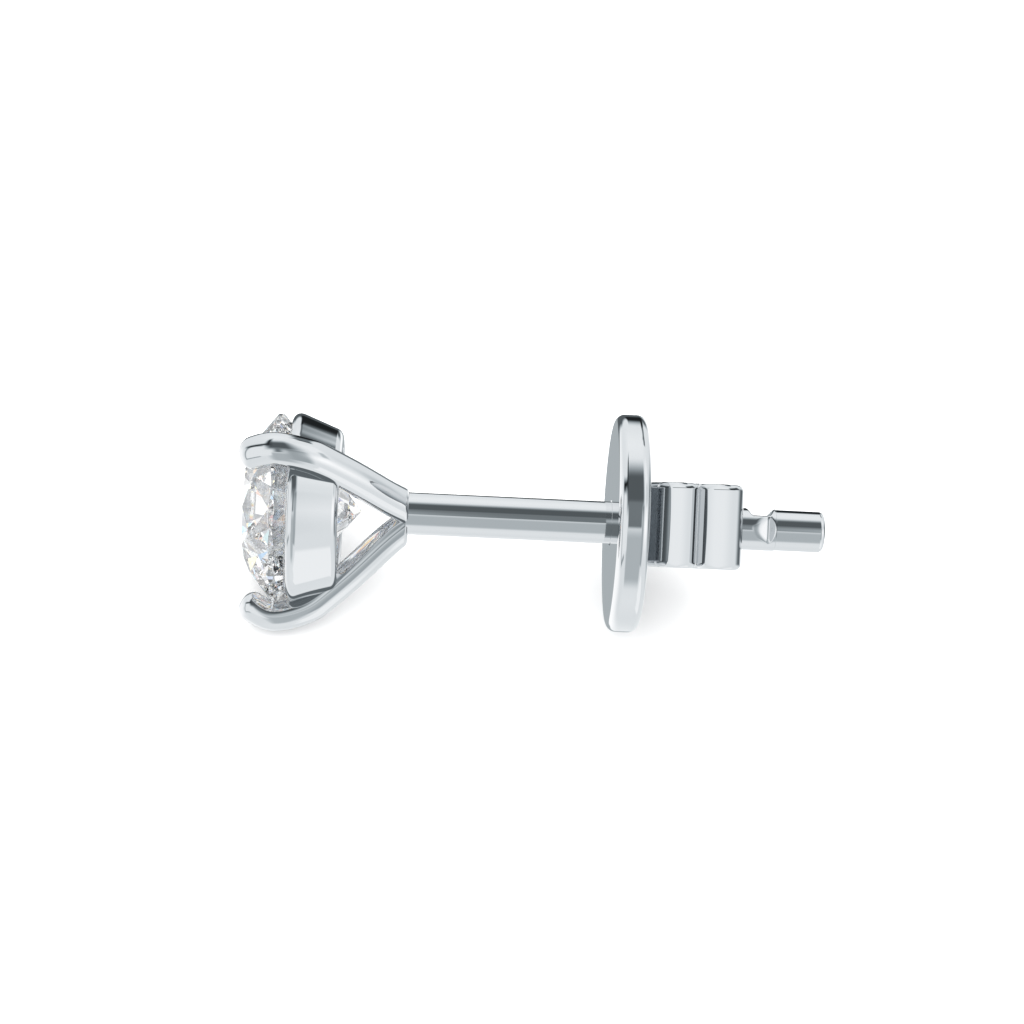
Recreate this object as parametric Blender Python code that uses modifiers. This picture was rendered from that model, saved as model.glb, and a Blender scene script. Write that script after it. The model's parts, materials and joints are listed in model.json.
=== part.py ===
# A diamond stud earring: a round brilliant in a three-prong setting with its post, and the
# friction back that slides on the post. Every piece is modelled upright, with the table of
# the stone facing up at z = 0 and the post pointing down, and the stud is then laid on a
# flat surface, where it rests on the gallery ring, one prong and the rim of the back.
import math

import bmesh
import bpy
from mathutils import Matrix, Vector

MM = 0.001

# Stone: proportions of a round brilliant cut
STONE_DIAMETER = 4.10 * MM
TABLE_SHARE = 0.56
CROWN_ANGLE = math.radians(34.5)
GIRDLE_THICKNESS = 0.13 * MM
PAVILION_ANGLE = math.radians(40.9)
STAR_SHARE = 0.50
LOWER_HALF_SHARE = 0.77
MAIN_FACETS = 8
GIRDLE_SIDES = 64

# Setting: round prongs outside a conical gallery ring
SEAT_GAP = 0.02 * MM
GIRDLE_CLEARANCE = 0.03 * MM
PRONG_COUNT = 3
PRONG_THICKNESS = 0.68 * MM
PRONG_WIDTH = 0.75 * MM
CLAW_RISE_SHARE = 0.50
CLAW_LEAN_SHARE = 0.924
CLAW_ROUNDING = math.radians(84)
CULET_CLEARANCE = 1.02 * MM
GALLERY_DROP = 0.19 * MM
GALLERY_HEIGHT = 1.12 * MM
GALLERY_OVERHANG = 0.12 * MM
GALLERY_TAPER = math.radians(21.4)
GALLERY_WALL = 0.37 * MM
GALLERY_ROUNDING = 0.20 * MM
GALLERY_INNER_ROUNDING = 0.08 * MM

# Post, with three flat notches behind its tip
POST_DIAMETER = 0.925 * MM
TIP_DIAMETER = 0.90 * MM
POST_LENGTH = 9.14 * MM
POST_ROOT = 0.05 * MM
TIP_ROUNDING = 0.12 * MM
TIP_LENGTH = 1.08 * MM
NOTCH_LENGTH = 0.66 * MM
NOTCH_FLOOR = 0.39 * MM
NOTCH_DEPTH = 0.155 * MM
NOTCH_COUNT = 3

# Back: a thick disc with a strip rolled into two lobes on each side of the post
LOBE_GAP = 4.44 * MM
DISC_DIAMETER = 4.78 * MM
DISC_THICKNESS = 0.68 * MM
DISC_ROUNDING = 0.21 * MM
BORE_CLEARANCE = 0.03 * MM
BORE_CHAMFER = 0.05 * MM
SCROLL_LENGTH = 2.08 * MM
STRIP_WIDTH = 1.83 * MM
STRIP_THICKNESS = 0.28 * MM
STRIP_ROUNDING = 0.12 * MM
FRONT_LOBE_RADIUS = 0.45 * MM
REAR_LOBE_RADIUS = 0.52 * MM
LOBE_REACH = 1.70 * MM
FOOT_REACH = 0.66 * MM
SOLDER_DEPTH = 0.02 * MM
LOBE_NESTING = 0.06
FRONT_LOBE_ARC = (112, -8)
REAR_LOBE_ARC = (12, -90)
CREASE_SHARE = 0.10

ROUND_STEPS = 64
POST_STEPS = 32
ROUNDING_STEPS = 4
LOBE_STEPS = 7
WIRE_RESOLUTION = 5
PRONG_STEPS = 3
WELD_DISTANCE = 0.0002 * MM
SHARP_ANGLE = math.radians(32)
MOST_PITCH = math.radians(30)

# The prong's centre line below the girdle: how far down it is, as a share of the depth from
# the girdle to the rear of the setting, and how far out, as a share of the prong's reach
PRONG_ROWS = (
    {"down": 0.000, "out": 1.000},
    {"down": 0.165, "out": 0.956},
    {"down": 0.310, "out": 0.884},
    {"down": 0.411, "out": 0.770},
    {"down": 0.572, "out": 0.598},
    {"down": 0.741, "out": 0.389},
    {"down": 0.892, "out": 0.198},
    {"down": 1.000, "out": 0.087},
    {"down": 1.073, "out": 0.021},
)

# Sizes that follow from the ones above
STONE_RADIUS = STONE_DIAMETER / 2
TABLE_RADIUS = STONE_RADIUS * TABLE_SHARE
CROWN_HEIGHT = (STONE_RADIUS - TABLE_RADIUS) * math.tan(CROWN_ANGLE)
PAVILION_DEPTH = STONE_RADIUS * math.tan(PAVILION_ANGLE)
GIRDLE_TOP = -CROWN_HEIGHT
GIRDLE_BOTTOM = GIRDLE_TOP - GIRDLE_THICKNESS
CULET = GIRDLE_BOTTOM - PAVILION_DEPTH
SETTING_DEPTH = CULET_CLEARANCE - CULET
PRONG_REACH = STONE_RADIUS + GIRDLE_CLEARANCE + PRONG_THICKNESS / 2
GALLERY_TOP = GIRDLE_BOTTOM - GALLERY_DROP
GALLERY_BOTTOM = GALLERY_TOP - GALLERY_HEIGHT
GALLERY_TOP_RADIUS = STONE_RADIUS + GALLERY_OVERHANG
GALLERY_BOTTOM_RADIUS = GALLERY_TOP_RADIUS - GALLERY_HEIGHT * math.tan(GALLERY_TAPER)
POST_RADIUS = POST_DIAMETER / 2
TIP_RADIUS = TIP_DIAMETER / 2
POST_END = -SETTING_DEPTH - POST_LENGTH
NOTCH_BOTTOM = POST_END + TIP_LENGTH
NOTCH_TOP = NOTCH_BOTTOM + NOTCH_LENGTH
DISC_RADIUS = DISC_DIAMETER / 2
DISC_FRONT = -SETTING_DEPTH - LOBE_GAP
DISC_REAR = DISC_FRONT - DISC_THICKNESS
SCROLL_REAR = DISC_REAR - SCROLL_LENGTH
BORE_RADIUS = POST_RADIUS + BORE_CLEARANCE


def new_collection(name):
    collection = bpy.data.collections.new(name)
    bpy.context.scene.collection.children.link(collection)
    return collection


def object_from(mesh, name, collection):
    data = bpy.data.meshes.new(name)
    mesh.to_mesh(data)
    mesh.free()
    made = bpy.data.objects.new(name, data)
    collection.objects.link(made)
    return made


def make_tool(made):
    made.hide_render = True
    made.display_type = "WIRE"
    return made


def make_material(name, colour, roughness, metallic, transmission=0.0, ior=1.5):
    material = bpy.data.materials.new(name)
    material.use_nodes = True
    shader = material.node_tree.nodes["Principled BSDF"]
    shader.inputs["Base Color"].default_value = (*colour, 1.0)
    shader.inputs["Roughness"].default_value = roughness
    shader.inputs["Metallic"].default_value = metallic
    shader.inputs["Transmission Weight"].default_value = transmission
    shader.inputs["IOR"].default_value = ior
    material.diffuse_color = (*colour, 1.0)
    return material


def polar(radius, azimuth, height):
    return Vector((radius * math.cos(azimuth), radius * math.sin(azimuth), height))


def rounded(centre, radius, start, end, steps=ROUNDING_STEPS):
    """Points on an arc of an outline, from one angle to the other, in degrees."""
    points = []
    for i in range(steps + 1):
        angle = math.radians(start + (end - start) * i / steps)
        points.append((centre[0] + radius * math.cos(angle), centre[1] + radius * math.sin(angle)))
    return points


def turned(name, outline, collection, closed, steps=ROUND_STEPS):
    """A solid of revolution about z, from an outline of (radius, height) on its outer side."""
    mesh = bmesh.new()
    corners = [mesh.verts.new((radius, 0.0, height)) for radius, height in outline]
    for first, second in zip(corners, corners[1:]):
        mesh.edges.new((first, second))
    if closed:
        mesh.edges.new((corners[-1], corners[0]))
    made = object_from(mesh, name, collection)
    screw = made.modifiers.new("turn", "SCREW")
    screw.axis = "Z"
    screw.angle = math.tau
    screw.steps = steps
    screw.render_steps = steps
    screw.use_merge_vertices = True
    screw.merge_threshold = WELD_DISTANCE
    return made


def combine(made, tool, operation):
    boolean = made.modifiers.new(operation.lower(), "BOOLEAN")
    boolean.operation = operation
    boolean.solver = "EXACT"
    boolean.object = tool


def finish(made, material):
    """Applies the modifiers, shades the round faces smooth and gives the piece its metal."""
    evaluated = made.evaluated_get(bpy.context.evaluated_depsgraph_get())
    data = bpy.data.meshes.new_from_object(evaluated)
    mesh = bmesh.new()
    mesh.from_mesh(data)
    bmesh.ops.remove_doubles(mesh, verts=mesh.verts, dist=WELD_DISTANCE)
    mesh.to_mesh(data)
    mesh.free()
    made.modifiers.clear()
    made.data = data
    data.materials.clear()
    data.materials.append(material)
    data.shade_smooth()
    data.set_sharp_from_angle(angle=SHARP_ANGLE)


def grind(mesh, first, second, third):
    """Cuts one flat facet through three points, as on a lapidary's wheel."""
    normal = (second - first).cross(third - first).normalized()
    if normal.dot(first - Vector((0.0, 0.0, GIRDLE_BOTTOM))) < 0:
        normal.negate()
    everything = mesh.verts[:] + mesh.edges[:] + mesh.faces[:]
    bmesh.ops.bisect_plane(
        mesh, geom=everything, dist=1e-9, plane_co=first, plane_no=normal, clear_outer=True
    )
    rim = [edge for edge in mesh.edges if edge.is_boundary]
    if rim:
        bmesh.ops.holes_fill(mesh, edges=rim, sides=0)


def make_diamond(collection):
    blank_depth = -CULET
    mesh = bmesh.new()
    bmesh.ops.create_cone(
        mesh, cap_ends=True, segments=GIRDLE_SIDES, radius1=STONE_RADIUS,
        radius2=STONE_RADIUS, depth=blank_depth,
        matrix=Matrix.Translation((0.0, 0.0, -blank_depth / 2)),
    )
    pitch = math.tau / MAIN_FACETS
    half = pitch / 2

    # On a main facet at azimuth 0, how high a point of the crown or pavilion lies
    def crown_edge(radius):
        return (TABLE_RADIUS - radius * math.cos(half)) * math.tan(CROWN_ANGLE)

    def pavilion_edge(radius):
        return CULET + radius * math.cos(half) * math.tan(PAVILION_ANGLE)

    table_edge = TABLE_RADIUS * math.cos(half)
    star_radius = table_edge + STAR_SHARE * (STONE_RADIUS - table_edge)
    lower_radius = STONE_RADIUS * (1 - LOWER_HALF_SHARE)
    culet = Vector((0.0, 0.0, CULET))
    for i in range(MAIN_FACETS):
        at = i * pitch
        sideways = polar(TABLE_RADIUS, at + math.pi / 2, 0.0)
        table_corner = polar(TABLE_RADIUS, at, 0.0)
        grind(mesh, table_corner, polar(STONE_RADIUS, at, GIRDLE_TOP), table_corner + sideways)
        grind(mesh, culet, polar(STONE_RADIUS, at, GIRDLE_BOTTOM), culet + sideways)
    for i in range(MAIN_FACETS):
        at = i * pitch
        star_tip = polar(star_radius, at + half, crown_edge(star_radius))
        lower_tip = polar(lower_radius, at + half, pavilion_edge(lower_radius))
        grind(mesh, polar(TABLE_RADIUS, at, 0.0), polar(TABLE_RADIUS, at + pitch, 0.0), star_tip)
        for start in (at, at + half):
            for height, tip in ((GIRDLE_TOP, star_tip), (GIRDLE_BOTTOM, lower_tip)):
                first = polar(STONE_RADIUS, start, height)
                second = polar(STONE_RADIUS, start + half, height)
                grind(mesh, first, second, tip)
    bmesh.ops.remove_doubles(mesh, verts=mesh.verts, dist=WELD_DISTANCE)
    bmesh.ops.recalc_face_normals(mesh, faces=mesh.faces)
    stone = object_from(mesh, "diamond", collection)
    stone.data.materials.append(
        make_material("diamond", (0.97, 0.98, 1.0), 0.0, 0.0, transmission=1.0, ior=2.417)
    )
    return stone


def make_seat_cutter(collection):
    """The stone's outline all round, a seat gap larger, which cuts the notches and seats."""
    crown_lift = SEAT_GAP / math.cos(CROWN_ANGLE)
    pavilion_drop = SEAT_GAP / math.cos(PAVILION_ANGLE)
    wide = STONE_RADIUS + SEAT_GAP
    table = TABLE_RADIUS + (crown_lift - SEAT_GAP) / math.tan(CROWN_ANGLE)
    outline = [
        (0.0, SEAT_GAP),
        (table, SEAT_GAP),
        (wide, crown_lift - (wide - TABLE_RADIUS) * math.tan(CROWN_ANGLE)),
        (wide, GIRDLE_BOTTOM + SEAT_GAP * math.tan(PAVILION_ANGLE) - pavilion_drop),
        (0.0, CULET - pavilion_drop),
    ]
    return make_tool(turned("seat_cutter", outline, collection, closed=False))


def smooth_through(rows, steps):
    """Points on a Catmull-Rom curve through all the rows."""
    padded = [rows[0], *rows, rows[-1]]
    points = []
    for before, start, end, after in zip(padded, padded[1:], padded[2:], padded[3:]):
        for i in range(steps):
            t = i / steps
            point = []
            for a, b, c, d in zip(before, start, end, after):
                curve = (2 * b) + (c - a) * t
                curve += (2 * a - 5 * b + 4 * c - d) * t * t
                curve += (3 * b - a - 3 * c + d) * t * t * t
                point.append(curve / 2)
            points.append(tuple(point))
    points.append(rows[-1])
    return points


def wire(name, points, thickness, collection):
    """A round wire through (x, z, share of its thickness) points, as a closed mesh."""
    curve = bpy.data.curves.new(name, "CURVE")
    curve.dimensions = "3D"
    curve.bevel_depth = thickness / 2
    curve.bevel_resolution = WIRE_RESOLUTION
    curve.use_fill_caps = True
    spline = curve.splines.new("POLY")
    spline.points.add(len(points) - 1)
    for control, (x, z, share) in zip(spline.points, points):
        control.co = (x, 0.0, z, 1.0)
        control.radius = share
    guide = bpy.data.objects.new(name, curve)
    collection.objects.link(guide)
    evaluated = guide.evaluated_get(bpy.context.evaluated_depsgraph_get())
    data = bpy.data.meshes.new_from_object(evaluated)
    mesh = bmesh.new()
    mesh.from_mesh(data)
    bmesh.ops.remove_doubles(mesh, verts=mesh.verts, dist=WELD_DISTANCE)
    bmesh.ops.recalc_face_normals(mesh, faces=mesh.faces)
    bpy.data.objects.remove(guide, do_unlink=True)
    bpy.data.meshes.remove(data)
    return mesh


def prong_line():
    """The prong's centre line with its relative thickness, from the round claw to the foot."""
    radius = PRONG_THICKNESS / 2
    depth = SETTING_DEPTH + GIRDLE_TOP
    rows = [(CLAW_LEAN_SHARE * PRONG_REACH, GIRDLE_TOP + CLAW_RISE_SHARE * CROWN_HEIGHT)]
    rows += [(row["out"] * PRONG_REACH, GIRDLE_TOP - row["down"] * depth) for row in PRONG_ROWS]
    line = smooth_through(rows, PRONG_STEPS)
    first, second = Vector(line[0]), Vector(line[1])
    ahead = (first - second).normalized()
    claw = []
    for i in range(ROUNDING_STEPS, 0, -1):
        angle = CLAW_ROUNDING * i / ROUNDING_STEPS
        centre = first + ahead * radius * math.sin(angle)
        claw.append((centre.x, centre.y, math.cos(angle)))
    return claw + [(x, z, 1.0) for x, z in line]


def make_prong(index, collection):
    name = f"prong_{index}"
    mesh = wire(name, prong_line(), PRONG_THICKNESS, collection)
    bmesh.ops.scale(mesh, vec=(1.0, PRONG_WIDTH / PRONG_THICKNESS, 1.0), verts=mesh.verts)
    azimuth = math.tau * (index + 0.5) / PRONG_COUNT
    turn = Matrix.Rotation(azimuth, 3, "Z")
    bmesh.ops.rotate(mesh, cent=(0.0, 0.0, 0.0), matrix=turn, verts=mesh.verts)
    return make_tool(object_from(mesh, name, collection))


def gallery_outline():
    """The ring's section: a leaning wall with large outer and small inner roundings."""
    lean = math.degrees(GALLERY_TAPER)
    taper = math.tan(GALLERY_TAPER)
    slant = math.cos(GALLERY_TAPER)
    big, small = GALLERY_ROUNDING, GALLERY_INNER_ROUNDING

    def wall(height, inwards):
        return GALLERY_TOP_RADIUS - (GALLERY_TOP - height) * taper - inwards / slant

    top_big, top_small = GALLERY_TOP - big, GALLERY_TOP - small
    low_big, low_small = GALLERY_BOTTOM + big, GALLERY_BOTTOM + small
    inner = GALLERY_WALL - small
    outline = rounded((wall(top_big, big), top_big), big, 90, -lean)
    outline += rounded((wall(low_big, big), low_big), big, -lean, -90)
    outline += rounded((wall(low_small, inner), low_small), small, -90, -180 - lean, 2)
    outline += rounded((wall(top_small, inner), top_small), small, 180 - lean, 90, 2)
    return outline


def post_outline():
    shoulder = POST_RADIUS - TIP_RADIUS
    corner = (TIP_RADIUS - TIP_ROUNDING, POST_END + TIP_ROUNDING)
    root = -SETTING_DEPTH + POST_ROOT
    outline = [(0.0, root), (POST_RADIUS, root), (POST_RADIUS, NOTCH_BOTTOM + shoulder)]
    outline.append((TIP_RADIUS, NOTCH_BOTTOM))
    outline += rounded(corner, TIP_ROUNDING, 0, -90)
    outline.append((0.0, POST_END))
    return outline


def make_notch_cutter(index, collection):
    """A block with sloping ends that planes one flat notch into the side of the post."""
    floor = POST_RADIUS - NOTCH_DEPTH
    slope = (NOTCH_LENGTH - NOTCH_FLOOR) / 2 / NOTCH_DEPTH
    rise = NOTCH_DEPTH + POST_RADIUS
    middle = (NOTCH_TOP + NOTCH_BOTTOM) / 2
    mesh = bmesh.new()
    bmesh.ops.create_cube(mesh, size=1.0)
    for corner in mesh.verts:
        outer = corner.co.x > 0
        length = NOTCH_FLOOR + (2 * rise * slope if outer else 0.0)
        corner.co.x = floor + (rise if outer else 0.0)
        corner.co.y *= POST_DIAMETER + rise
        corner.co.z = middle + corner.co.z * length
    turn = Matrix.Rotation(math.tau * index / NOTCH_COUNT, 3, "Z")
    bmesh.ops.rotate(mesh, cent=(0.0, 0.0, 0.0), matrix=turn, verts=mesh.verts)
    return make_tool(object_from(mesh, f"notch_cutter_{index}", collection))


def make_setting(collection, tools, metal):
    """Gallery ring, prongs and post soldered together, with the stone's seats cut in."""
    setting = turned("setting_and_post", gallery_outline(), collection, closed=True)
    prongs = [make_prong(i, tools) for i in range(PRONG_COUNT)]
    for prong in prongs:
        combine(setting, prong, "UNION")
    feet = [(0.0, -SETTING_DEPTH), (PRONG_REACH, -SETTING_DEPTH)]
    feet += [(PRONG_REACH, POST_END), (0.0, POST_END)]
    combine(setting, make_tool(turned("feet_cutter", feet, tools, closed=False)), "DIFFERENCE")
    post = turned("post", post_outline(), tools, closed=False, steps=POST_STEPS)
    for i in range(NOTCH_COUNT):
        combine(post, make_notch_cutter(i, tools), "DIFFERENCE")
    combine(setting, make_tool(post), "UNION")
    combine(setting, make_seat_cutter(tools), "DIFFERENCE")
    finish(setting, metal)
    return setting, prongs


def disc_outline():
    r = DISC_ROUNDING
    outline = rounded((DISC_RADIUS - r, DISC_FRONT - r), r, 90, 0)
    outline += rounded((DISC_RADIUS - r, DISC_REAR + r), r, 0, -90)
    outline += [
        (BORE_RADIUS, DISC_REAR),
        (BORE_RADIUS, DISC_FRONT - BORE_CHAMFER),
        (BORE_RADIUS + BORE_CHAMFER, DISC_FRONT),
    ]
    return outline


def strip_line():
    """The strip's middle, as (y, z) from the post outwards: foot, two lobes, free end."""
    half = STRIP_THICKNESS / 2
    foot = DISC_REAR - half + SOLDER_DEPTH
    rear = SCROLL_REAR + half
    front_lobe = FRONT_LOBE_RADIUS - half
    rear_lobe = REAR_LOBE_RADIUS - half
    front_out = LOBE_REACH - FRONT_LOBE_RADIUS
    rear_out = LOBE_REACH - REAR_LOBE_RADIUS
    rear_centre = SCROLL_REAR + REAR_LOBE_RADIUS
    crease = rear_centre + REAR_LOBE_RADIUS * (1 - LOBE_NESTING)
    front_centre = crease + FRONT_LOBE_RADIUS * (1 - LOBE_NESTING)
    line = [(0.0, foot), (FOOT_REACH, foot)]
    line += rounded((front_out, front_centre), front_lobe, *FRONT_LOBE_ARC, LOBE_STEPS)
    line.append((rear_out + CREASE_SHARE * rear_lobe, crease))
    line += rounded((rear_out, rear_centre), rear_lobe, *REAR_LOBE_ARC, LOBE_STEPS)
    line.append((0.0, rear))
    return line


def make_strip(side, collection):
    """Half of the rolled strip, on one side of the post."""
    mesh = bmesh.new()
    rows = []
    for y, z in strip_line():
        low = mesh.verts.new((-STRIP_WIDTH / 2, side * y, z))
        high = mesh.verts.new((STRIP_WIDTH / 2, side * y, z))
        rows.append((low, high))
    for (a, b), (c, d) in zip(rows, rows[1:]):
        mesh.faces.new((a, b, d, c))
    strip = object_from(mesh, f"strip_{'near' if side < 0 else 'far'}", collection)
    solid = strip.modifiers.new("thickness", "SOLIDIFY")
    solid.thickness = STRIP_THICKNESS
    solid.offset = 0.0
    solid.use_even_offset = True
    edge = strip.modifiers.new("rounding", "BEVEL")
    edge.width = STRIP_ROUNDING
    edge.segments = 2
    edge.limit_method = "ANGLE"
    edge.angle_limit = math.radians(60)
    return make_tool(strip)


def make_back(collection, tools, metal):
    """The friction back: disc and rolled strip as one piece, with the bore for the post."""
    back = turned("friction_back", disc_outline(), collection, closed=True)
    for side in (-1, 1):
        combine(back, make_strip(side, tools), "UNION")
    bore = [(0.0, -SETTING_DEPTH), (BORE_RADIUS, -SETTING_DEPTH)]
    bore += [(BORE_RADIUS, POST_END), (0.0, POST_END)]
    combine(back, make_tool(turned("bore_cutter", bore, tools, closed=False)), "DIFFERENCE")
    finish(back, metal)
    return back


def corners_of(made):
    return [corner.co for corner in made.data.vertices]


def laid_down(roll, pitch):
    """Turns the stud about its own axis, lays that axis along +x and tips it lengthwise."""
    flat = Matrix.Rotation(-math.pi / 2, 4, "Y")
    return Matrix.Rotation(pitch, 4, "Y") @ flat @ Matrix.Rotation(roll, 4, "Z")


def lowest(corners, pose):
    return min((pose @ corner).z for corner in corners)


def solve(gap, low, high):
    """The value between low and high at which a rising gap is zero."""
    for _ in range(40):
        middle = (low + high) / 2
        if gap(middle) > 0:
            high = middle
        else:
            low = middle
    return (low + high) / 2


def resting_pose(prongs, back):
    """The lie in which gallery ring and back carry the stud and one prong just touches."""
    ring = [
        polar(radius, math.tau * i / ROUND_STEPS, height)
        for radius, height in gallery_outline()
        for i in range(ROUND_STEPS)
    ]
    rim = corners_of(back)
    claws = [corner for prong in prongs for corner in corners_of(prong)]

    def pitch_at(roll):
        def gap(pitch):
            pose = laid_down(roll, pitch)
            return lowest(ring, pose) - lowest(rim, pose)
        return solve(gap, -MOST_PITCH, MOST_PITCH)

    def prong_gap(roll):
        pose = laid_down(roll, pitch_at(roll))
        return lowest(claws, pose) - lowest(rim, pose)

    roll = solve(prong_gap, 0.0, math.pi / PRONG_COUNT)
    return laid_down(roll, pitch_at(roll))


def main():
    for old in list(bpy.data.objects):
        bpy.data.objects.remove(old, do_unlink=True)
    parts = new_collection("diamond_stud")
    tools = new_collection("cutters")
    metal = make_material("white_gold", (0.84, 0.85, 0.87), 0.08, 1.0)

    diamond = make_diamond(parts)
    setting, prongs = make_setting(parts, tools, metal)
    back = make_back(parts, tools, metal)

    pose = resting_pose(prongs, back)
    placed = [pose @ corner for made in (setting, back, diamond) for corner in corners_of(made)]
    middle = [(min(c[i] for c in placed) + max(c[i] for c in placed)) / 2 for i in (0, 1)]
    floor = min(corner.z for corner in placed)
    rest = bpy.data.objects.new("rest", None)
    parts.objects.link(rest)
    rest.matrix_world = Matrix.Translation((-middle[0], -middle[1], -floor)) @ pose
    for made in [diamond, setting, back, *tools.objects]:
        made.parent = rest


main()
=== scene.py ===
import json
import math

import bmesh
import bpy
from mathutils import Matrix, Vector


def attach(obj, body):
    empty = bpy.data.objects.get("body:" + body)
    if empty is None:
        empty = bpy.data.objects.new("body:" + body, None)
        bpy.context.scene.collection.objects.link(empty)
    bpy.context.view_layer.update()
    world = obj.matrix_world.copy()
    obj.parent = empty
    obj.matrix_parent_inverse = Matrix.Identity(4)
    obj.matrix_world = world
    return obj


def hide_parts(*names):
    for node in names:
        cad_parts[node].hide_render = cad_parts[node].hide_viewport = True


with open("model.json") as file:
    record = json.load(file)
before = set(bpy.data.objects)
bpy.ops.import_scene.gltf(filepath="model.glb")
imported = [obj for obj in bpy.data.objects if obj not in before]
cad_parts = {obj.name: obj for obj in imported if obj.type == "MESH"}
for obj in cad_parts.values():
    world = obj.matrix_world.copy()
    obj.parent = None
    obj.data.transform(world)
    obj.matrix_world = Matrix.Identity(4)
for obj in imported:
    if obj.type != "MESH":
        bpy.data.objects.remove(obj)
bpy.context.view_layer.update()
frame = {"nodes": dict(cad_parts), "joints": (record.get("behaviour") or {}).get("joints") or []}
print("frame loaded")

# Pieces are modelled upright in millimetres, with the stone's table at z = 0 and the post
# pointing down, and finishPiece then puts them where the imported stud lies, in metres.
millimetre = 0.001

stone = {
    "diameter": 4.10,
    "tableShare": 0.56,
    "crownAngle": 34.5,
    "girdle": 0.13,
    "pavilionAngle": 40.9,
    "seatGap": 0.02,
    "refraction": 2.417,
}
stoneRadius = stone["diameter"] / 2
crownHeight = stoneRadius * (1 - stone["tableShare"]) * math.tan(math.radians(stone["crownAngle"]))
pavilionSlope = math.tan(math.radians(stone["pavilionAngle"]))
girdleTop = -crownHeight
girdleBottom = girdleTop - stone["girdle"]
culet = girdleBottom - stoneRadius * pavilionSlope

# how far apart vertices of one shape may be merged, and how much its large faces count for
# the shading of the edges beside them
finish = {
    "merge": 0.0002,
    "largeFaces": 80,
    "edgeSegments": 12,
}


def near(value, target, by=0.001):
    return abs(value - target) < by


def onAxis(point, by=0.01):
    return point.xy.length < by


def atRim(point, height, radius):
    return near(point.z, height) and near(point.xy.length, radius)


def onlySelect(piece):
    bpy.ops.object.select_all(action="DESELECT")
    piece.select_set(True)
    bpy.context.view_layer.objects.active = piece


def addCylinder(name, sides, radius, bottom, top):
    # an upright cylinder about the z axis
    bpy.ops.mesh.primitive_cylinder_add(
        vertices=sides, radius=radius, depth=top - bottom, location=(0, 0, (top + bottom) / 2)
    )
    piece = bpy.context.object
    piece.name = name
    bpy.ops.object.transform_apply(location=True)
    return piece


def startEdit(piece, mode="VERT"):
    onlySelect(piece)
    bpy.ops.object.mode_set(mode="EDIT")
    bpy.ops.mesh.select_mode(type=mode)
    bpy.ops.mesh.select_all(action="DESELECT")


def endEdit():
    bpy.ops.object.mode_set(mode="OBJECT")


def pick(piece, kind, test):
    # selects the vertices, edges or faces whose middle passes the test
    mesh = bmesh.from_edit_mesh(piece.data)
    for vertex in mesh.verts:
        vertex.select_set(False)
    for edge in mesh.edges:
        edge.select_set(False)
    for face in mesh.faces:
        face.select_set(False)
    for part in getattr(mesh, kind):
        if kind == "verts":
            middle = part.co
        elif kind == "edges":
            middle = (part.verts[0].co + part.verts[1].co) / 2
        else:
            middle = part.calc_center_median()
        if test(middle):
            part.select_set(True)
    bmesh.update_edit_mesh(piece.data)


def pickRim(piece, lowest=-math.inf):
    # selects the open rim of an unfinished shape, above a height
    bpy.ops.mesh.select_mode(type="EDGE")
    bpy.ops.mesh.select_all(action="DESELECT")
    mesh = bmesh.from_edit_mesh(piece.data)
    for edge in mesh.edges:
        if edge.is_boundary and edge.verts[0].co.z > lowest:
            edge.select_set(True)
    bmesh.update_edit_mesh(piece.data)


def roundEdge(piece, test, radius, corner=90, segments=finish["edgeSegments"]):
    # rounds the edges that pass the test, given the angle of metal at them
    bpy.ops.mesh.select_mode(type="EDGE")
    pick(piece, "edges", test)
    offset = radius / math.tan(math.radians(corner) / 2)
    bpy.ops.mesh.bevel(offset=offset, segments=segments, profile=0.5, clamp_overlap=False)


def applyModifiers(piece):
    onlySelect(piece)
    for modifier in list(piece.modifiers):
        bpy.ops.object.modifier_apply(modifier=modifier.name)


def smoothUnder(piece, degrees):
    # smooth shading that leaves the large faces flat beside their rounded edges
    onlySelect(piece)
    bpy.ops.object.shade_smooth_by_angle(angle=math.radians(degrees))
    weighted = piece.modifiers.new("large faces first", "WEIGHTED_NORMAL")
    weighted.mode = "FACE_AREA"
    weighted.weight = finish["largeFaces"]
    weighted.keep_sharp = True
    applyModifiers(piece)


def faceOutwards(piece):
    startEdit(piece)
    bpy.ops.mesh.select_all(action="SELECT")
    bpy.ops.mesh.remove_doubles(threshold=finish["merge"])
    bpy.ops.mesh.normals_make_consistent(inside=False)
    endEdit()


# the stud's turn shows in its low prong: of the vertices within so many degrees of the
# direction towards viewer and floor, the one that is farthest from the axis
lowProng = {
    "within": 29.5,
    "farther": 1e-7,
}


def studPlace():
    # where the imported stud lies: its axis from the joint, its turn from the prong nearest
    # to the viewer and the floor, and its place from the culet of the stone
    axis = Vector(frame["joints"][0]["axis"]).normalized()
    corners = [corner.co for corner in frame["nodes"]["diamond"].data.vertices]
    point = max(corners, key=lambda corner: corner.dot(axis))
    centre = point - axis * (point.dot(axis) - min(corner.dot(axis) for corner in corners))
    nearDown = Vector((0, -1, -1))
    outer = Vector((0, 0, 0))
    for corner in frame["nodes"]["setting_and_post"].data.vertices:
        away = corner.co - centre
        away -= axis * away.dot(axis)
        if away.length > outer.length + lowProng["farther"]:
            if math.degrees(away.angle(nearDown)) < lowProng["within"]:
                outer = away
    left = -outer.normalized()
    place = Matrix((left, (-axis).cross(left), -axis)).transposed().to_4x4()
    place.translation = centre
    return place @ Matrix.Scale(millimetre, 4)


studInRow = studPlace()


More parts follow.
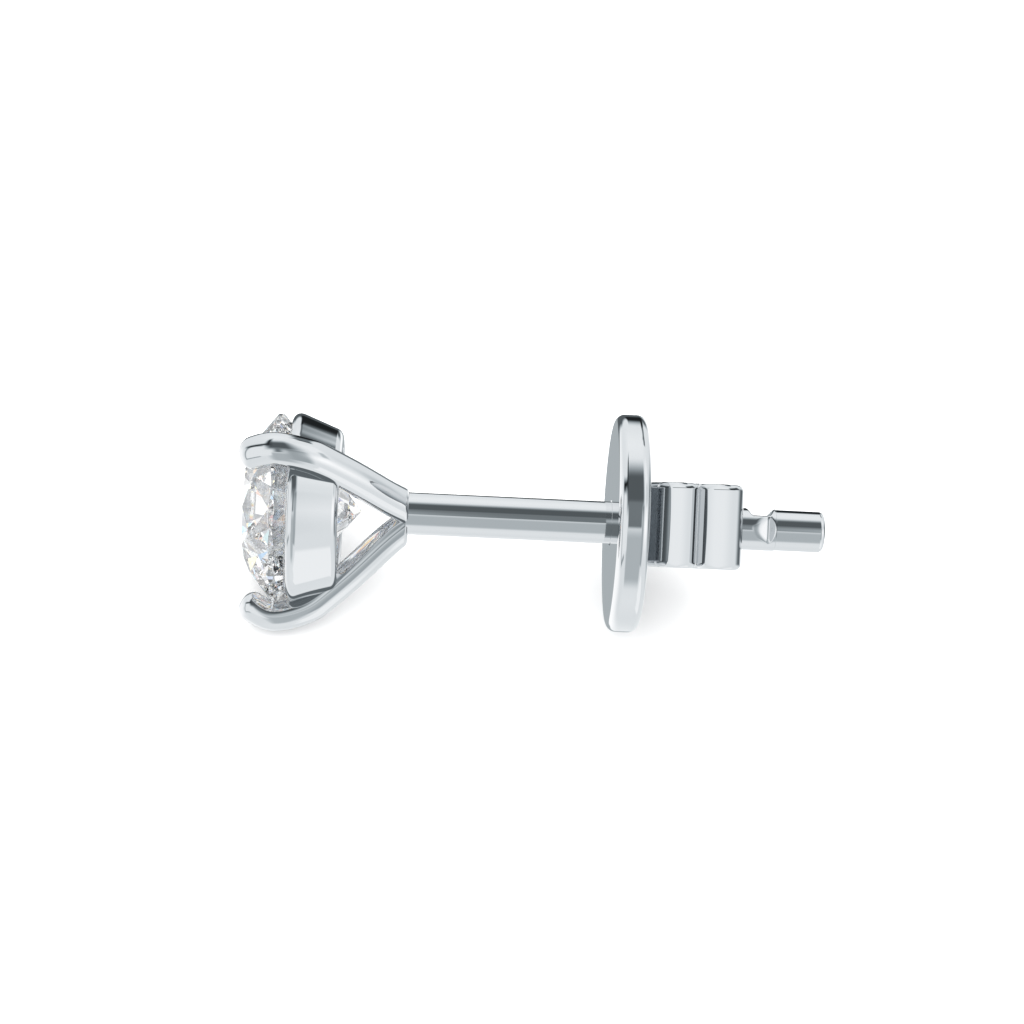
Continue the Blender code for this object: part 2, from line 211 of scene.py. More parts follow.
# The camera stands to the stud as the photograph's does. There the stud stands on one prong
# and the rim of its back. Here it lies as it would by itself, turned about its own axis, so
# the camera has gone up with it.
photoView = {
    "focalPixels": 2350.0,
    "imagePixels": 1024,
    "sensorWidth": 36.0,
    "distance": 51.6,
    "lookedAt": 5.82,
    "yaw": 2.0,
    "tiltUp": 0.724,
    "eyeHeight": 2.0,
    "prongReach": 2.76,
    "prongStation": 0.62,
    "discRadius": 2.39,
    "discStation": 8.66,
    "clipStart": 0.001,
    "clipEnd": 10.0,
}


def photoPlaces():
    v = photoView
    drop = v["prongReach"] - v["discRadius"]
    lean = math.atan2(drop, v["discStation"] - v["prongStation"])
    flat = Matrix.Rotation(-math.pi / 2, 4, "Y")
    turn = Matrix.Rotation(lean, 4, "Y") @ flat
    low = turn @ Vector((-v["prongReach"], 0, -v["prongStation"]))
    middle = turn @ Vector((0, 0, -v["lookedAt"]))
    stud = Matrix.Translation((-middle.x, 0, -low.z)) @ turn
    yaw = math.radians(v["yaw"])
    eye = Vector((-v["distance"] * math.sin(yaw), -v["distance"] * math.cos(yaw), v["eyeHeight"]))
    aim = Matrix.Rotation(-yaw, 4, "Z") @ Matrix.Rotation(math.pi / 2, 4, "X")
    aim = aim @ Matrix.Rotation(math.radians(v["tiltUp"]), 4, "X")
    return stud, Matrix.Translation(eye) @ aim


studInPhoto, cameraInPhoto = photoPlaces()
photoToRow = studInRow @ studInPhoto.inverted()


def makeCamera():
    v = photoView
    bpy.ops.object.camera_add()
    camera = bpy.context.object
    camera.name = "camera"
    camera.data.sensor_width = v["sensorWidth"]
    camera.data.lens = v["focalPixels"] / v["imagePixels"] * v["sensorWidth"]
    camera.data.clip_start = v["clipStart"]
    camera.data.clip_end = v["clipEnd"]
    place = photoToRow @ cameraInPhoto
    camera.matrix_world = Matrix.LocRotScale(place.to_translation(), place.to_quaternion(), None)
    bpy.context.scene.camera = camera


makeCamera()
print("camera placed")


# Metal

polish = {
    "colour": (0.76, 0.772, 0.785),
    "roughness": 0.035,
    "roughnessSpread": 0.02,
    "finestRoughness": 0.001,
    "finestSpread": 0.002,
    "swirlScale": 900.0,
    "swirlDetail": 3.0,
    "bumpDistance": 0.0000004,
}


def makePolishGroup():
    # faint buffing marks: a little more roughness here and there, and a trace of ripple
    group = bpy.data.node_groups.new("buffed polish", "ShaderNodeTree")
    face = group.interface
    for name in ("Scale", "Roughness", "Spread", "Distance"):
        face.new_socket(name=name, in_out="INPUT", socket_type="NodeSocketFloat")
    face.new_socket(name="Roughness", in_out="OUTPUT", socket_type="NodeSocketFloat")
    face.new_socket(name="Normal", in_out="OUTPUT", socket_type="NodeSocketVector")
    nodes, links = group.nodes, group.links
    given = nodes.new("NodeGroupInput")
    result = nodes.new("NodeGroupOutput")
    place = nodes.new("ShaderNodeTexCoord")
    noise = nodes.new("ShaderNodeTexNoise")
    noise.inputs["Detail"].default_value = polish["swirlDetail"]
    spread = nodes.new("ShaderNodeMath")
    spread.operation = "MULTIPLY"
    total = nodes.new("ShaderNodeMath")
    total.operation = "ADD"
    bump = nodes.new("ShaderNodeBump")
    bump.inputs["Strength"].default_value = 1.0
    links.new(place.outputs["Object"], noise.inputs["Vector"])
    links.new(given.outputs["Scale"], noise.inputs["Scale"])
    links.new(noise.outputs["Fac"], spread.inputs[0])
    links.new(given.outputs["Spread"], spread.inputs[1])
    links.new(spread.outputs[0], total.inputs[0])
    links.new(given.outputs["Roughness"], total.inputs[1])
    links.new(noise.outputs["Fac"], bump.inputs["Height"])
    links.new(given.outputs["Distance"], bump.inputs["Distance"])
    links.new(total.outputs[0], result.inputs["Roughness"])
    links.new(bump.outputs["Normal"], result.inputs["Normal"])
    return group


polishGroup = makePolishGroup()


def makeMetal(name, roughness, spread):
    material = bpy.data.materials.new(name)
    material.use_nodes = True
    nodes, links = material.node_tree.nodes, material.node_tree.links
    shader = nodes["Principled BSDF"]
    shader.inputs["Base Color"].default_value = (*polish["colour"], 1)
    shader.inputs["Metallic"].default_value = 1.0
    marks = nodes.new("ShaderNodeGroup")
    marks.node_tree = polishGroup
    marks.inputs["Scale"].default_value = polish["swirlScale"]
    marks.inputs["Roughness"].default_value = roughness
    marks.inputs["Spread"].default_value = spread
    marks.inputs["Distance"].default_value = polish["bumpDistance"]
    links.new(marks.outputs["Roughness"], shader.inputs["Roughness"])
    links.new(marks.outputs["Normal"], shader.inputs["Normal"])
    return material


settingMetal = makeMetal("polished setting metal", polish["roughness"], polish["roughnessSpread"])
backMetal = makeMetal("polished back metal", polish["roughness"], polish["roughnessSpread"])
stripMetal = makeMetal("finest polish", polish["finestRoughness"], polish["finestSpread"])
print("metal mixed")


def finishPiece(piece, material, body, node):
    # moves the finished mesh into the frame and leaves the object at the origin
    piece.data.transform(studInRow)
    piece.data.update()
    piece.data.materials.clear()
    piece.data.materials.append(material)
    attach(piece, body)
    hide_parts(node)


# Setting: the gallery ring, a cone that starts a little below the girdle

gallery = {
    "drop": 0.19,
    "height": 1.12,
    "overhang": 0.12,
    "taper": 21.4,
    "wall": 0.37,
    "outerRounding": 0.20,
    "innerRounding": 0.05,
    "innerSegments": 6,
    "sides": 256,
    "smoothUnder": 30,
}


def makeGallery():
    g = gallery
    slope = math.tan(math.radians(g["taper"]))
    top = girdleBottom - g["drop"]
    bottom = top - g["height"]
    topRadius = stoneRadius + g["overhang"]
    bottomRadius = topRadius - g["height"] * slope
    wall = g["wall"] / math.cos(math.radians(g["taper"]))
    gap = stone["seatGap"] / math.sin(math.radians(stone["pavilionAngle"]))
    seatRadius = stoneRadius - g["drop"] / pavilionSlope + gap
    seatDepth = (seatRadius - topRadius + wall) / (1 / pavilionSlope - slope)

    ring = addCylinder("gallery_ring", g["sides"], topRadius, bottom, top)
    startEdit(ring)
    pick(ring, "verts", lambda p: near(p.z, bottom))
    shrink = bottomRadius / topRadius
    bpy.ops.transform.resize(value=(shrink, shrink, 1), center_override=(0, 0, bottom))

    # the stone's seat, ground into the top, and the open middle
    bpy.ops.mesh.select_mode(type="FACE")
    pick(ring, "faces", lambda p: near(p.z, top) and onAxis(p))
    bpy.ops.mesh.inset(thickness=topRadius - seatRadius)
    bpy.ops.mesh.extrude_region_move(TRANSFORM_OT_translate={"value": (0, 0, -seatDepth)})
    sunk = (topRadius - wall - seatDepth * slope) / seatRadius
    bpy.ops.transform.resize(value=(sunk, sunk, 1), center_override=(0, 0, top - seatDepth))
    pick(ring, "faces", lambda p: near(p.z, bottom) and onAxis(p))
    bpy.ops.mesh.inset(thickness=wall)
    pick(ring, "faces", onAxis)
    bpy.ops.mesh.bridge_edge_loops()

    big, small = g["outerRounding"], g["innerRounding"]
    sharp, blunt = 90 - g["taper"], 90 + g["taper"]
    roundEdge(ring, lambda p: atRim(p, top, topRadius), big, sharp)
    roundEdge(ring, lambda p: atRim(p, bottom, bottomRadius), big, blunt)
    roundEdge(ring, lambda p: atRim(p, bottom, bottomRadius - wall), small, sharp, g["innerSegments"])
    endEdit()
    smoothUnder(ring, g["smoothUnder"])
    finishPiece(ring, settingMetal, "stud", "setting_and_post")


makeGallery()
print("gallery ring turned")


# Setting: the prongs

prong = {
    "count": 3,
    "thickness": 0.68,
    "width": 0.75,
    "girdleClearance": 0.03,
    "clawRise": 0.50,
    "clawLean": 0.924,
    "behindCulet": 1.02,
    "footRounding": 0.06,
    "footSteps": 5,
    "footMerge": 0.01,
    "sides": 12,
    "levels": 3,
    "smoothUnder": 30,
}
# the round claw as rings: how far ahead and how wide, as shares of half the thickness
clawRings = [
    {"ahead": 1.02, "wide": 0.36},
    {"ahead": 0.86, "wide": 0.72},
    {"ahead": 0.50, "wide": 0.96},
]
# below the girdle: how far down and how far out, as shares of the depth and the reach
prongLine = [
    {"down": 0.000, "out": 1.000},
    {"down": 0.165, "out": 0.956},
    {"down": 0.310, "out": 0.884},
    {"down": 0.411, "out": 0.770},
    {"down": 0.572, "out": 0.598},
    {"down": 0.741, "out": 0.389},
    {"down": 0.892, "out": 0.198},
    {"down": 1.200, "out": -0.094},
]
settingDepth = prong["behindCulet"] - culet
prongReach = stoneRadius + prong["girdleClearance"] + prong["thickness"] / 2


def prongStations():
    # middle and relative width of each ring from the claw's tip to past the foot
    depth = settingDepth + girdleTop
    rise = prong["clawRise"] * crownHeight
    line = [Vector((prong["clawLean"] * prongReach, 0, girdleTop + rise))]
    for row in prongLine:
        line.append(Vector((row["out"] * prongReach, 0, girdleTop - row["down"] * depth)))
    ahead = (line[0] - line[1]).normalized() * prong["thickness"] / 2
    claw = [(line[0] + ahead * row["ahead"], row["wide"]) for row in clawRings]
    return claw + [(point, 1.0) for point in line]


def drawProng(piece, stations):
    # a tube through the stations, which shrinks to the inside of its corners when subdivided
    p = prong
    swell = 1 / (2 / 3 + math.cos(math.tau / p["sides"]) / 3)
    half = p["thickness"] / 2 * swell
    broad = p["width"] / 2 * swell

    def turnAt(i):
        before = stations[max(i - 1, 0)][0]
        after = stations[min(i + 1, len(stations) - 1)][0]
        way = after - before
        return math.atan2(-way.x, -way.z)

    startEdit(piece)
    bpy.ops.mesh.select_all(action="SELECT")
    bpy.ops.transform.resize(value=(half, broad, 1), center_override=(0, 0, 0))
    size, facing, place = 1.0, 0.0, Vector((0, 0, 0))
    for i, (point, wide) in enumerate(stations):
        if i == 0:
            bpy.ops.transform.translate(value=point)
        else:
            bpy.ops.mesh.extrude_region_move(TRANSFORM_OT_translate={"value": point - place})
        bpy.ops.transform.resize(value=[wide / size] * 3, center_override=point)
        mesh = bmesh.from_edit_mesh(piece.data)
        ring = [vertex for vertex in mesh.verts if vertex.select]
        turn = Matrix.Rotation(turnAt(i) - facing, 3, "Y")
        bmesh.ops.rotate(mesh, cent=point, matrix=turn, verts=ring)
        bmesh.update_edit_mesh(piece.data)
        size, facing, place = wide, turnAt(i), point

    # the claw's end is closed with a square grid
    pickRim(piece, lowest=girdleBottom)
    bpy.ops.mesh.fill_grid(span=p["sides"] // 4)
    endEdit()
    faceOutwards(piece)
    smooth = piece.modifiers.new("smooth", "SUBSURF")
    smooth.levels = smooth.render_levels = p["levels"]
    applyModifiers(piece)


def cutFoot(piece, way):
    # cuts the tube level with the rear of the setting and rounds the edge, along the tube
    p = prong
    rounding = p["footRounding"]
    startEdit(piece)
    bpy.ops.mesh.select_all(action="SELECT")
    bpy.ops.mesh.bisect(
        plane_co=(0, 0, rounding - settingDepth), plane_no=(0, 0, 1), use_fill=False, clear_inner=True
    )
    pickRim(piece)
    bpy.ops.mesh.remove_doubles(threshold=p["footMerge"])
    pickRim(piece)
    rim = [vertex.co for vertex in bmesh.from_edit_mesh(piece.data).verts if vertex.select]
    middle = sum(rim, Vector()) / len(rim)
    size, level = 1.0, 0.0
    for i in range(p["footSteps"]):
        angle = math.pi / 2 * (i + 1) / p["footSteps"]
        drop = rounding * math.sin(angle)
        share = 1 - rounding * (1 - math.cos(angle)) / (p["thickness"] / 2)
        move = way * (level - drop) / way.z
        bpy.ops.mesh.extrude_region_move(TRANSFORM_OT_translate={"value": move})
        middle = middle + move
        bpy.ops.transform.resize(value=(share / size, share / size, 1), center_override=middle)
        size, level = share, drop
    bpy.ops.mesh.edge_face_add()
    endEdit()


def makeProng(index):
    p = prong
    stations = prongStations()
    bpy.ops.mesh.primitive_circle_add(vertices=p["sides"], radius=1, fill_type="NOTHING")
    piece = bpy.context.object
    piece.name = f"prong_{index}"
    drawProng(piece, stations)
    cutFoot(piece, stations[-1][0] - stations[-2][0])
    smoothUnder(piece, p["smoothUnder"])

    # the middle one of the prongs points to -x, where the prong nearest to the floor lies
    piece.data.transform(Matrix.Rotation(math.tau * (index + 0.5) / p["count"], 4, "Z"))
    finishPiece(piece, settingMetal, "stud", "setting_and_post")


for prongIndex in range(prong["count"]):
    makeProng(prongIndex)
print("prongs drawn")


# Setting: the post, with a thinner tip and a notch before it

post = {
    "diameter": 0.925,
    "tipDiameter": 0.90,
    "length": 9.14,
    "root": 0.05,
    "tipRounding": 0.12,
    "tipLength": 1.08,
    "notchLength": 0.66,
    "notchFloor": 0.39,
    "notchDepth": 0.155,
    "dentLength": 0.56,
    "dentRamp": 0.72,
    "dentDepth": 0.12,
    "dentTurn": 88,
    "flatSoftness": 0.3,
    "dentSoftness": 0.5,
    "notchSoftness": 0.06,
    "notchFacing": 0.3,
    "notchRings": 60,
    "sides": 192,
    "smoothUnder": 40,
}
postEnd = -settingDepth - post["length"]


def softLeast(first, second, reach):
    # the lesser of two values, with the change from one to the other rounded over
    share = min(max(0.5 + (second - first) / reach / 2, 0), 1)
    return second + (first - second) * share - reach * share * (1 - share)


def fileNotches(piece, middle):
    # a flat on top with sloping ends, and a dent on each side that ramps down towards the tip,
    # each cut only into what faces it
    p = post
    radius, soft = p["diameter"] / 2, p["notchSoftness"]
    half = p["notchLength"] / 2
    slope = half - p["notchFloor"] / 2
    for vertex in piece.data.vertices:
        x, y, z = vertex.co
        if not near(math.hypot(x, y), radius):
            continue
        along = (middle - half + p["dentLength"] - z) / p["dentLength"]
        flat = softLeast((half - abs(z - middle)) / slope, 1, p["flatSoftness"])
        dent = softLeast(along / p["dentRamp"], (1 - along) / (1 - p["dentRamp"]), p["dentSoftness"])
        angle = math.atan2(y, x)
        reach = radius
        cuts = (
            (flat, p["notchDepth"], 0),
            (dent, p["dentDepth"], p["dentTurn"]),
            (dent, p["dentDepth"], -p["dentTurn"]),
        )
        for share, depth, turn in cuts:
            facing = math.cos(angle - math.radians(turn))
            if share > 0 and facing > p["notchFacing"]:
                reach = softLeast(reach, (radius + soft - (depth + soft) * share) / facing, soft)
        vertex.co = (reach * math.cos(angle), reach * math.sin(angle), z)


def makePost():
    p = post
    radius = p["diameter"] / 2
    tipRadius = p["tipDiameter"] / 2
    piece = addCylinder("ear_post", p["sides"], radius, postEnd, p["root"] - settingDepth)
    startEdit(piece)
    step = postEnd + p["tipLength"]
    levels = [step, step + radius - tipRadius]
    levels += [step + p["notchLength"] * (i + 1) / p["notchRings"] for i in range(p["notchRings"])]
    for level in levels:
        bpy.ops.mesh.select_all(action="SELECT")
        bpy.ops.mesh.bisect(plane_co=(0, 0, level), plane_no=(0, 0, 1))
    pick(piece, "verts", lambda q: q.z < step or near(q.z, step))
    slim = tipRadius / radius
    bpy.ops.transform.resize(value=(slim, slim, 1), center_override=(0, 0, step))
    roundEdge(piece, lambda q: near(q.z, postEnd) and q.xy.length > tipRadius / 2, p["tipRounding"])
    endEdit()
    fileNotches(piece, step + p["notchLength"] / 2)
    smoothUnder(piece, p["smoothUnder"])
    finishPiece(piece, settingMetal, "stud", "setting_and_post")


makePost()
print("post turned and notched")


# Back: the disc

disc = {
    "lobeGap": 4.44,
    "diameter": 4.78,
    "thickness": 0.68,
    "rounding": 0.21,
    "boreClearance": 0.03,
    "boreRounding": 0.03,
    "sides": 256,
    "smoothUnder": 30,
}
discFront = -settingDepth - disc["lobeGap"]
discRear = discFront - disc["thickness"]
boreRadius = post["diameter"] / 2 + disc["boreClearance"]


def makeDisc():
    d = disc
    radius = d["diameter"] / 2
    piece = addCylinder("back_disc", d["sides"], radius, discRear, discFront)
    startEdit(piece, "FACE")
    pick(piece, "faces", onAxis)
    bpy.ops.mesh.inset(thickness=radius - boreRadius)
    pick(piece, "faces", onAxis)
    bpy.ops.mesh.bridge_edge_loops()
    middle = (discFront + discRear) / 2
    roundEdge(piece, lambda q: near(q.xy.length, radius) and not near(q.z, middle), d["rounding"])
    roundEdge(piece, lambda q: atRim(q, discFront, boreRadius), d["boreRounding"])
    endEdit()
    smoothUnder(piece, d["smoothUnder"])
    finishPiece(piece, backMetal, "back", "friction_back")


makeDisc()
print("disc turned")


# Back: the rolled strip, a flat foot on the disc and two lobes that nest into each other

strip = {
    "length": 2.08,
    "width": 1.83,
    "thickness": 0.28,
    "rounding": 0.138,
    "roundingSegments": 8,
    "frontLobe": 0.45,
    "rearLobe": 0.52,
    "reach": 1.70,
    "foot": 0.66,
    "solder": 0.02,
    "nesting": 0.06,
    "foldRadius": 0.01,
    "frontStart": 112,
    "rearEnd": -90,
    "steps": 36,
    "foldSteps": 12,
    "smoothUnder": 30,
}


def stripPath():
    # the strip's middle as (y, z), from the foot on the disc round both lobes to the post
    s = strip
    half = s["thickness"] / 2
    rear = discRear - s["length"]
    rearMiddle = rear + s["rearLobe"]
    crease = rearMiddle + s["rearLobe"] * (1 - s["nesting"])
    frontMiddle = crease + s["frontLobe"] * (1 - s["nesting"])
    foot = discRear - half + s["solder"]
    frontCentre = Vector((s["reach"] - s["frontLobe"], frontMiddle))
    rearCentre = Vector((s["reach"] - s["rearLobe"], rearMiddle))

    # both lobes touch a small circle, and the strip folds round it
    front, back = s["frontLobe"] + s["foldRadius"], s["rearLobe"] + s["foldRadius"]
    between = frontCentre - rearCentre
    along = (back**2 - front**2 + between.length_squared) / 2 / between.length
    outwards = Vector((between.y, -between.x)).normalized()
    fold = rearCentre + between.normalized() * along + outwards * math.sqrt(back**2 - along**2)

    def angleOf(way):
        return math.degrees(math.atan2(way.y, way.x))

    def arc(centre, radius, start, end, steps):
        points = []
        for i in range(steps + 1):
            angle = math.radians(start + (end - start) * i / steps)
            points.append((centre.x + radius * math.cos(angle), centre.y + radius * math.sin(angle)))
        return points

    frontEnd, rearStart = angleOf(fold - frontCentre), angleOf(fold - rearCentre)
    path = [(boreRadius, foot), (s["foot"], foot)]
    path += arc(frontCentre, s["frontLobe"] - half, s["frontStart"], frontEnd, s["steps"])
    turn = arc(fold, half + s["foldRadius"], frontEnd + 180, rearStart + 180, s["foldSteps"])
    path += turn[1:-1]
    path += arc(rearCentre, s["rearLobe"] - half, rearStart, s["rearEnd"], s["steps"])
    path.append((boreRadius, rear + half))
    return path


def makeStrip(side, name):
    s = strip
    path = [Vector((0, y, z)) for y, z in stripPath()]
    bpy.ops.mesh.primitive_plane_add(size=1, location=(0, 0, 0))
    piece = bpy.context.object
    piece.name = name

    # the section is a flat strip with rounded edges, stood up at the post
    startEdit(piece)
    bpy.ops.mesh.select_all(action="SELECT")
    bpy.ops.transform.resize(value=(s["width"], s["thickness"], 1), center_override=(0, 0, 0))
    bpy.ops.mesh.bevel(
        offset=s["rounding"], segments=s["roundingSegments"], profile=0.5, affect="VERTICES",
        clamp_overlap=False,
    )
    bpy.ops.mesh.select_all(action="SELECT")
    mesh = bmesh.from_edit_mesh(piece.data)
    for vertex in mesh.verts:
        vertex.co = path[0] + Vector((vertex.co.x, 0, vertex.co.y))
    bmesh.update_edit_mesh(piece.data)

    def across(way):
        return Vector((0, -way.z, way.y)).normalized()

    # and drawn along the path, mitred where it turns
    place, normal, stretch = path[0], Vector((0, 0, 1)), 1.0
    for before, point, after in zip(path, path[1:], path[2:] + [None]):
        came = across(point - before)
        goes = came if after is None else across(after - point)
        nextNormal = (came + goes).normalized()
        nextStretch = 1 / nextNormal.dot(came)
        bpy.ops.mesh.extrude_region_move(TRANSFORM_OT_translate={"value": (0, 0, 0)})
        mesh = bmesh.from_edit_mesh(piece.data)
        for vertex in mesh.verts:
            if vertex.select:
                height = (vertex.co - place).dot(normal) / stretch
                vertex.co = point + nextNormal * height * nextStretch + Vector((vertex.co.x, 0, 0))
        bmesh.update_edit_mesh(piece.data)
        place, normal, stretch = point, nextNormal, nextStretch
    endEdit()
    if side < 0:
        piece.data.transform(Matrix.Scale(-1, 4, (0, 1, 0)))
    faceOutwards(piece)
    smoothUnder(piece, s["smoothUnder"])
    finishPiece(piece, stripMetal, "back", "friction_back")


makeStrip(-1, "scroll_near")
makeStrip(1, "scroll_far")
print("strip rolled")


# Stone

def makeStoneMaterial():
    material = bpy.data.materials.new("clear diamond")
    material.use_nodes = True
    shader = material.node_tree.nodes["Principled BSDF"]
    shader.inputs["Base Color"].default_value = (1, 1, 1, 1)
    shader.inputs["Roughness"].default_value = 0.0
    shader.inputs["IOR"].default_value = stone["refraction"]
    shader.inputs["Transmission Weight"].default_value = 1.0
    diamond = frame["nodes"]["diamond"]
    diamond.data.materials.clear()
    diamond.data.materials.append(material)


makeStoneMaterial()
print("stone polished")


# Studio: a white floor and the soft panels round the stud that its metal mirrors

studio = {
    "floorSize": 2.0,
    "floorColour": (0.86, 0.86, 0.86),
    "skyOverFloor": 2.6,
    "shadeTint": (0.86, 1.0, 1.07),
    "gain": 1.22,
    "rainbow": 2.5,
    "firstMirrorOnly": 1.5,
    "bounces": 24,
    "allBounces": 32,
}
# the bare surroundings, as brightness at so many degrees above the horizon
backdrop = [(-90, 0.80), (-60, 0.76), (-30, 0.76), (0, 0.74), (30, 0.76), (60, 0.80), (90, 0.88)]
# panels in front of them, each over the ones before it: where, how large, how far tilted and
# how soft at the edges, all in degrees, how bright, and which mirrors see them. 0 across is
# towards the camera, 90 is right.
panelColumns = ("name", "across", "up", "wide", "tall", "tilt", "softSides", "softEnds", "level", "seen")
panels = [
    ("bright left", -130, -8, 90, 64, 0, 40, 40, 1.00, "always"),
    ("bright right", 62, 38, 34, 34, 0, 16, 16, 0.87, "always"),
    ("bright low right", 95, -62, 90, 28, 0, 6, 6, 0.90, "always"),
    ("grey low front", 4, -38, 36, 58, 0, 22, 16, 0.46, "always"),
    ("grey beside it", 27, -14, 23, 60, 0, 12, 4, 0.38, "always"),
    ("outline of the box", -54, 0, 32, 66, 0, 6, 6, 0.16, "always"),
    ("bright box", -38, 0, 56, 58, 0, 8, 8, 0.82, "always"),
    ("dark front", 4, 37, 56, 46, 0, 24, 24, 0.10, "always"),
    ("dark low front", 4, 8, 14, 26, 0, 13, 4, 0.18, "always"),
    ("black bar", -50, 36, 54, 10, 14, 16, 9, 0.015, "always"),
    ("black column", -26, 52, 20, 44, 12, 18, 18, 0.03, "always"),
    ("dark behind", 178, 19, 56, 34, 0, 12, 12, 0.10, "always"),
    ("arch", 118, 64, 34, 11, 0, 4, 4, 0.13, "always"),
    ("arch's right arm", 142, 60, 40, 12, -25, 5, 5, 0.18, "always"),
    ("black behind", 166, 40, 32, 14, -55, 7, 7, 0.015, "always"),
    ("bright behind", 145, 8, 50, 22, 0, 12, 12, 1.00, "always"),
    ("white at the right", 60, -4, 40, 26, 0, 34, 34, 1.05, "in one mirror"),
    ("card at the right", 68, 20, 12, 18, 0, 8, 8, 0.52, "always"),
    ("grey far left", 184, -3, 20, 26, 0, 4, 4, 0.38, "always"),
    ("dark at the right", 114, 2, 40, 30, 0, 26, 26, 0.10, "always"),
    ("dark beside the disc", 94, 0, 80, 56, 0, 22, 22, 0.06, "in a second mirror"),
    ("dark below", -20, -42, 190, 84, 0, 40, 26, 0.16, "in a second mirror"),
    # cards close to the strip, which it alone mirrors, and what it mirrors of itself
    ("card", 12, 0, 170, 190, 0, 44, 44, 0.76, "by the strip"),
    ("its middle", -4, 0, 90, 190, 0, 60, 60, 0.86, "by the strip"),
    ("its slit", 20, 15, 110, 9, 0, 5, 5, 0.12, "by the strip"),
    ("its dark corner", 75, 26, 60, 26, 0, 10, 10, 0.04, "by the strip"),
    ("dark in the groove", -52, 0, 76, 190, 0, 14, 14, 0.05, "by the strip again"),
    ("grey in the groove", 38, 0, 104, 190, 0, 14, 14, 0.70, "by the strip again"),
]
# what the stone sees through itself: steps that set whole facets apart, upwards and across
stoneSteps = [
    (-90, 1.25), (-52, 1.25), (-46, 0.62), (-24, 0.70), (-18, 1.30), (4, 1.30), (9, 0.40), (24, 0.55),
    (30, 1.30), (50, 1.25), (55, 0.45), (68, 0.60), (73, 1.35), (90, 1.35),
]
stoneSectors = [
    (-180, 0.75), (-120, 1.15), (-60, 1.10), (-54, 0.62), (-20, 0.70), (-14, 1.10), (40, 1.15),
    (46, 0.70), (90, 0.75), (97, 1.10), (140, 1.10), (180, 0.75),
]


def makeFloor():
    bpy.ops.mesh.primitive_plane_add(size=studio["floorSize"], location=(0, 0, 0))
    floor = bpy.context.object
    floor.name = "floor"
    material = bpy.data.materials.new("white floor")
    material.use_nodes = True
    shader = material.node_tree.nodes["Principled BSDF"]
    shader.inputs["Base Color"].default_value = (*studio["floorColour"], 1)
    shader.inputs["Roughness"].default_value = 1.0
    shader.inputs["Specular IOR Level"].default_value = 0.0
    floor.data.materials.append(material)
    floor.visible_glossy = False
    floor.visible_transmission = False


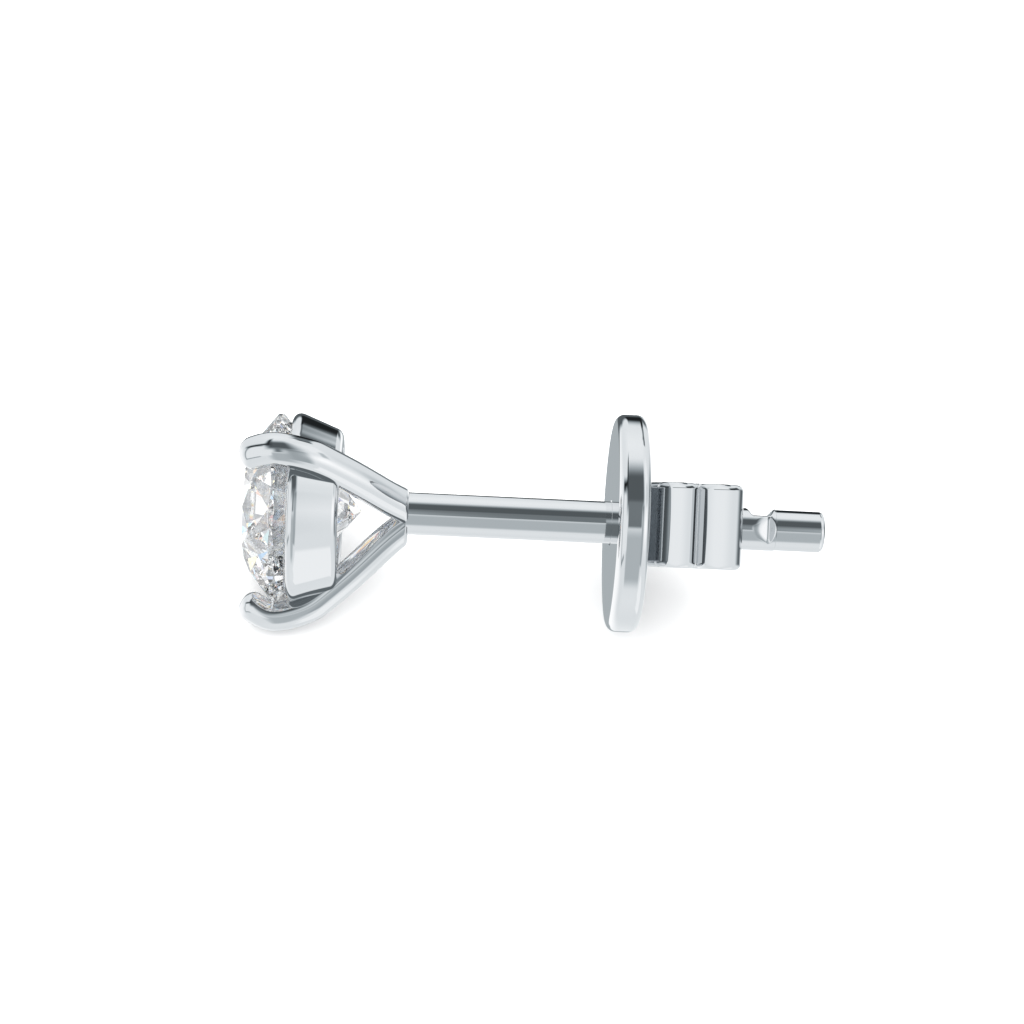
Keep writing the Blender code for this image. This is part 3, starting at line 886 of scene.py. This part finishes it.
def makeSurroundings():
    world = bpy.data.worlds.new("studio")
    bpy.context.scene.world = world
    world.use_nodes = True
    nodes, links = world.node_tree.nodes, world.node_tree.links
    nodes.clear()

    def feed(socket, value):
        if isinstance(value, bpy.types.NodeSocket):
            links.new(value, socket)
        else:
            socket.default_value = value

    def calculate(operation, *given):
        node = nodes.new("ShaderNodeMath")
        node.operation = operation
        for socket, value in zip(node.inputs, given):
            feed(socket, value)
        return node.outputs[0]

    def slope(value, start, end, smooth=False):
        # 0 where the value is at the start, 1 where it is at the end
        node = nodes.new("ShaderNodeMapRange")
        node.interpolation_type = "SMOOTHSTEP" if smooth else "LINEAR"
        node.inputs["From Min"].default_value = start
        node.inputs["From Max"].default_value = end
        links.new(value, node.inputs["Value"])
        return node.outputs[0]

    def within(distance, size, soft):
        # 1 inside a panel and 0 outside it, soft at the edge
        outside, inside = (size + soft) / 2, (size - soft) / 2
        return slope(calculate("ABSOLUTE", distance), outside, inside, smooth=True)

    def turned(first, second, tilt):
        # how far along a direction that is so many degrees from the first one
        cosine, sine = math.cos(math.radians(tilt)), math.sin(math.radians(tilt))
        return calculate("ADD", calculate("MULTIPLY", first, cosine), calculate("MULTIPLY", second, sine))

    def ramp(bands, degrees):
        low, high = bands[0][0], bands[-1][0]
        node = nodes.new("ShaderNodeValToRGB")
        stops = node.color_ramp.elements
        while len(stops) > 1:
            stops.remove(stops[-1])
        for i, (angle, level) in enumerate(bands):
            share = (angle - low) / (high - low)
            stop = stops[0] if i == 0 else stops.new(share)
            stop.position = share
            stop.color = (level, level, level, 1)
        links.new(slope(degrees, low, high), node.inputs["Fac"])
        return node.outputs["Color"]

    def mix(share, first, second, kind="FLOAT"):
        # the node has an A, a B and a result for numbers, then for vectors, then for colours
        node = nodes.new("ShaderNodeMix")
        node.data_type = kind
        place = {"FLOAT": 0, "RGBA": 2}[kind]
        feed(node.inputs[0], share)
        feed([socket for socket in node.inputs if socket.name == "A"][place], first)
        feed([socket for socket in node.inputs if socket.name == "B"][place], second)
        return node.outputs[place]

    def light(colour, level=1.0):
        node = nodes.new("ShaderNodeBackground")
        feed(node.inputs["Color"], colour)
        feed(node.inputs["Strength"], level)
        return node.outputs[0]

    def choose(share, first, second):
        node = nodes.new("ShaderNodeMixShader")
        for socket, value in zip(node.inputs, (share, first, second)):
            links.new(value, socket)
        return node.outputs[0]

    # the direction that is looked in, turned to how the photograph sees the stud
    place = nodes.new("ShaderNodeTexCoord")
    turn = nodes.new("ShaderNodeMapping")
    turn.inputs["Rotation"].default_value = photoToRow.to_3x3().normalized().inverted().to_euler("XYZ")
    parts = nodes.new("ShaderNodeSeparateXYZ")
    links.new(place.outputs["Generated"], turn.inputs["Vector"])
    links.new(turn.outputs["Vector"], parts.inputs[0])
    right, away, high = parts.outputs
    across = calculate("DEGREES", calculate("ARCTAN2", right, calculate("MULTIPLY", away, -1.0)))
    up = calculate("DEGREES", calculate("ARCSINE", high))

    path = nodes.new("ShaderNodeLightPath")
    # only the strip is polished so finely that its mirror rays count as singular
    byStrip = path.outputs["Is Singular Ray"]
    again = calculate("GREATER_THAN", path.outputs["Glossy Depth"], studio["firstMirrorOnly"])
    seenBy = {
        "always": 1.0,
        "in one mirror": calculate("SUBTRACT", 1.0, again),
        "in a second mirror": calculate("MULTIPLY", again, calculate("SUBTRACT", 1.0, byStrip)),
        "by the strip": byStrip,
        "by the strip again": calculate("MULTIPLY", again, byStrip),
    }
    level = ramp(backdrop, up)
    for row in panels:
        panel = dict(zip(panelColumns, row))
        beside = calculate("WRAP", calculate("SUBTRACT", across, panel["across"]), 180.0, -180.0)
        above = calculate("SUBTRACT", up, panel["up"])
        if panel["tilt"]:
            beside, above = turned(beside, above, panel["tilt"]), turned(above, beside, -panel["tilt"])
        sides = within(beside, panel["wide"], panel["softSides"])
        ends = within(above, panel["tall"], panel["softEnds"])
        share = calculate("MULTIPLY", calculate("MULTIPLY", sides, ends), seenBy[panel["seen"]])
        level = mix(share, level, panel["level"])

    white = (1, 1, 1, 1)
    tinted = mix(level, (*studio["shadeTint"], 1), white, "RGBA")
    rainbow = nodes.new("ShaderNodeCombineColor")
    for socket, shift in zip(rainbow.inputs, (-studio["rainbow"], 0.0, studio["rainbow"])):
        feed(socket, ramp(stoneSteps, calculate("ADD", up, shift)))

    mirrored = light(tinted, calculate("MULTIPLY", level, studio["gain"]))
    throughStone = light(rainbow.outputs[0], ramp(stoneSectors, across))
    shown = choose(path.outputs["Is Transmission Ray"], mirrored, throughStone)
    shown = choose(path.outputs["Is Diffuse Ray"], shown, light(white, studio["skyOverFloor"]))
    shown = choose(path.outputs["Is Camera Ray"], shown, light(white))
    out = nodes.new("ShaderNodeOutputWorld")
    links.new(shown, out.inputs["Surface"])


makeFloor()
makeSurroundings()
bpy.context.scene.view_settings.view_transform = "Standard"
bpy.context.scene.cycles.glossy_bounces = studio["bounces"]
bpy.context.scene.cycles.transmission_bounces = studio["bounces"]
bpy.context.scene.cycles.max_bounces = studio["allBounces"]
print("studio set up")
